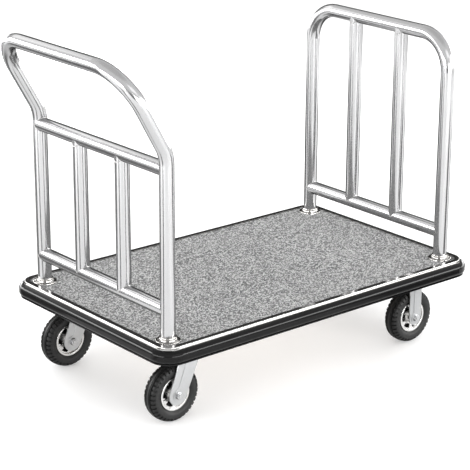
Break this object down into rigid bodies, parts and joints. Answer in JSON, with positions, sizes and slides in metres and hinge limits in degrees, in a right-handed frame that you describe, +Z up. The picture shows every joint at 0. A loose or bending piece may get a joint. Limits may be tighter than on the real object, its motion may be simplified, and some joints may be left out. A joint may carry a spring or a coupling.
{
  "type": "hotel luggage cart",
  "caption": "Platform luggage cart: carpeted deck with steel trim and rubber bumper, kicked-back push handle, upright hoop, swivel and rigid casters.",
  "frame": {"origin": "on the floor, under the middle of the overall length and width", "axes": "+Z up, +X from the push handle to the upright hoop, +Y to the left of the person who pushes"},
  "size_m": [1.167, 0.682, 0.951],
  "materials": {
    "stainless_tube": "polished lengthwise, light brushing",
    "stainless_trim": "mirror polished",
    "carpet": "grey flecked loop pile",
    "panel": "raw plywood",
    "frame_paint": "black powder coat",
    "bumper_rubber": "gloss black extruded rubber",
    "zinc_plate": "bright zinc plated pressed steel",
    "rim_metal": "bright plated pressed steel",
    "tyre_rubber": "matt black ribbed tread",
    "fastener": "zinc plated",
    "bearing_steel": "ground steel"
  },
  "bodies": {
    "cart": {"deck_panel": "panel", "carpet": "carpet", "edge_trim": "stainless_trim", "bumper": "bumper_rubber", "bumper_skirt": "zinc_plate", "frame_side_rail_left": "frame_paint", "frame_side_rail_right": "frame_paint", "frame_cross_rails": "frame_paint", "handle_tube": "stainless_tube", "handle_upper_rail": "stainless_tube", "handle_lower_rail": "stainless_tube", "handle_bar_1": "stainless_tube", "handle_bar_2": "stainless_tube", "hoop_tube": "stainless_tube", "hoop_lower_rail": "stainless_tube", "hoop_bar_1": "stainless_tube", "hoop_bar_2": "stainless_tube", "post_flange_handle_left": "stainless_trim", "post_flange_handle_right": "stainless_trim", "post_flange_hoop_left": "stainless_trim", "post_flange_hoop_right": "stainless_trim", "post_plugs": "fastener", "post_bolts": "fastener", "post_washers": "fastener", "caster_bolts": "fastener", "caster_nuts": "fastener", "panel_screws": "fastener", "trim_screws": "fastener", "skirt_screws": "fastener", "swivel_left_plate": "zinc_plate", "swivel_left_balls": "bearing_steel", "swivel_left_king_pin": "fastener", "swivel_right_plate": "zinc_plate", "swivel_right_balls": "bearing_steel", "swivel_right_king_pin": "fastener", "rigid_left_bracket": "zinc_plate", "rigid_left_axle_bolt": "fastener", "rigid_right_bracket": "zinc_plate", "rigid_right_axle_bolt": "fastener", "rigid_left_axle_sleeve": "bearing_steel", "rigid_right_axle_sleeve": "bearing_steel"},
    "swivel_left": {"swivel_left_fork": "zinc_plate", "swivel_left_axle_bolt": "fastener", "swivel_left_axle_sleeve": "bearing_steel"},
    "swivel_left_wheel": {"swivel_left_tyre": "tyre_rubber", "swivel_left_rim": "rim_metal", "swivel_left_bearings": "bearing_steel"},
    "swivel_right": {"swivel_right_fork": "zinc_plate", "swivel_right_axle_bolt": "fastener", "swivel_right_axle_sleeve": "bearing_steel"},
    "swivel_right_wheel": {"swivel_right_tyre": "tyre_rubber", "swivel_right_rim": "rim_metal", "swivel_right_bearings": "bearing_steel"},
    "rigid_left_wheel": {"rigid_left_tyre": "tyre_rubber", "rigid_left_rim": "rim_metal", "rigid_left_bearings": "bearing_steel"},
    "rigid_right_wheel": {"rigid_right_tyre": "tyre_rubber", "rigid_right_rim": "rim_metal", "rigid_right_bearings": "bearing_steel"}
  },
  "joints": [
    {"name": "swivel_left_turn", "type": "hinge", "parent": "cart", "child": "swivel_left", "pos_m": [-0.3635, 0.231, 0.15], "axis": [0, 0, 1], "continuous": true},
    {"name": "swivel_left_roll", "type": "hinge", "parent": "swivel_left", "child": "swivel_left_wheel", "pos_m": [-0.4035, 0.231, 0.076], "axis": [0, 1, 0], "continuous": true},
    {"name": "swivel_right_turn", "type": "hinge", "parent": "cart", "child": "swivel_right", "pos_m": [-0.3635, -0.231, 0.15], "axis": [0, 0, 1], "continuous": true},
    {"name": "swivel_right_roll", "type": "hinge", "parent": "swivel_right", "child": "swivel_right_wheel", "pos_m": [-0.4035, -0.231, 0.076], "axis": [0, 1, 0], "continuous": true},
    {"name": "rigid_left_roll", "type": "hinge", "parent": "cart", "child": "rigid_left_wheel", "pos_m": [0.4405, 0.231, 0.076], "axis": [0, 1, 0], "continuous": true},
    {"name": "rigid_right_roll", "type": "hinge", "parent": "cart", "child": "rigid_right_wheel", "pos_m": [0.4405, -0.231, 0.076], "axis": [0, 1, 0], "continuous": true}
  ]
}
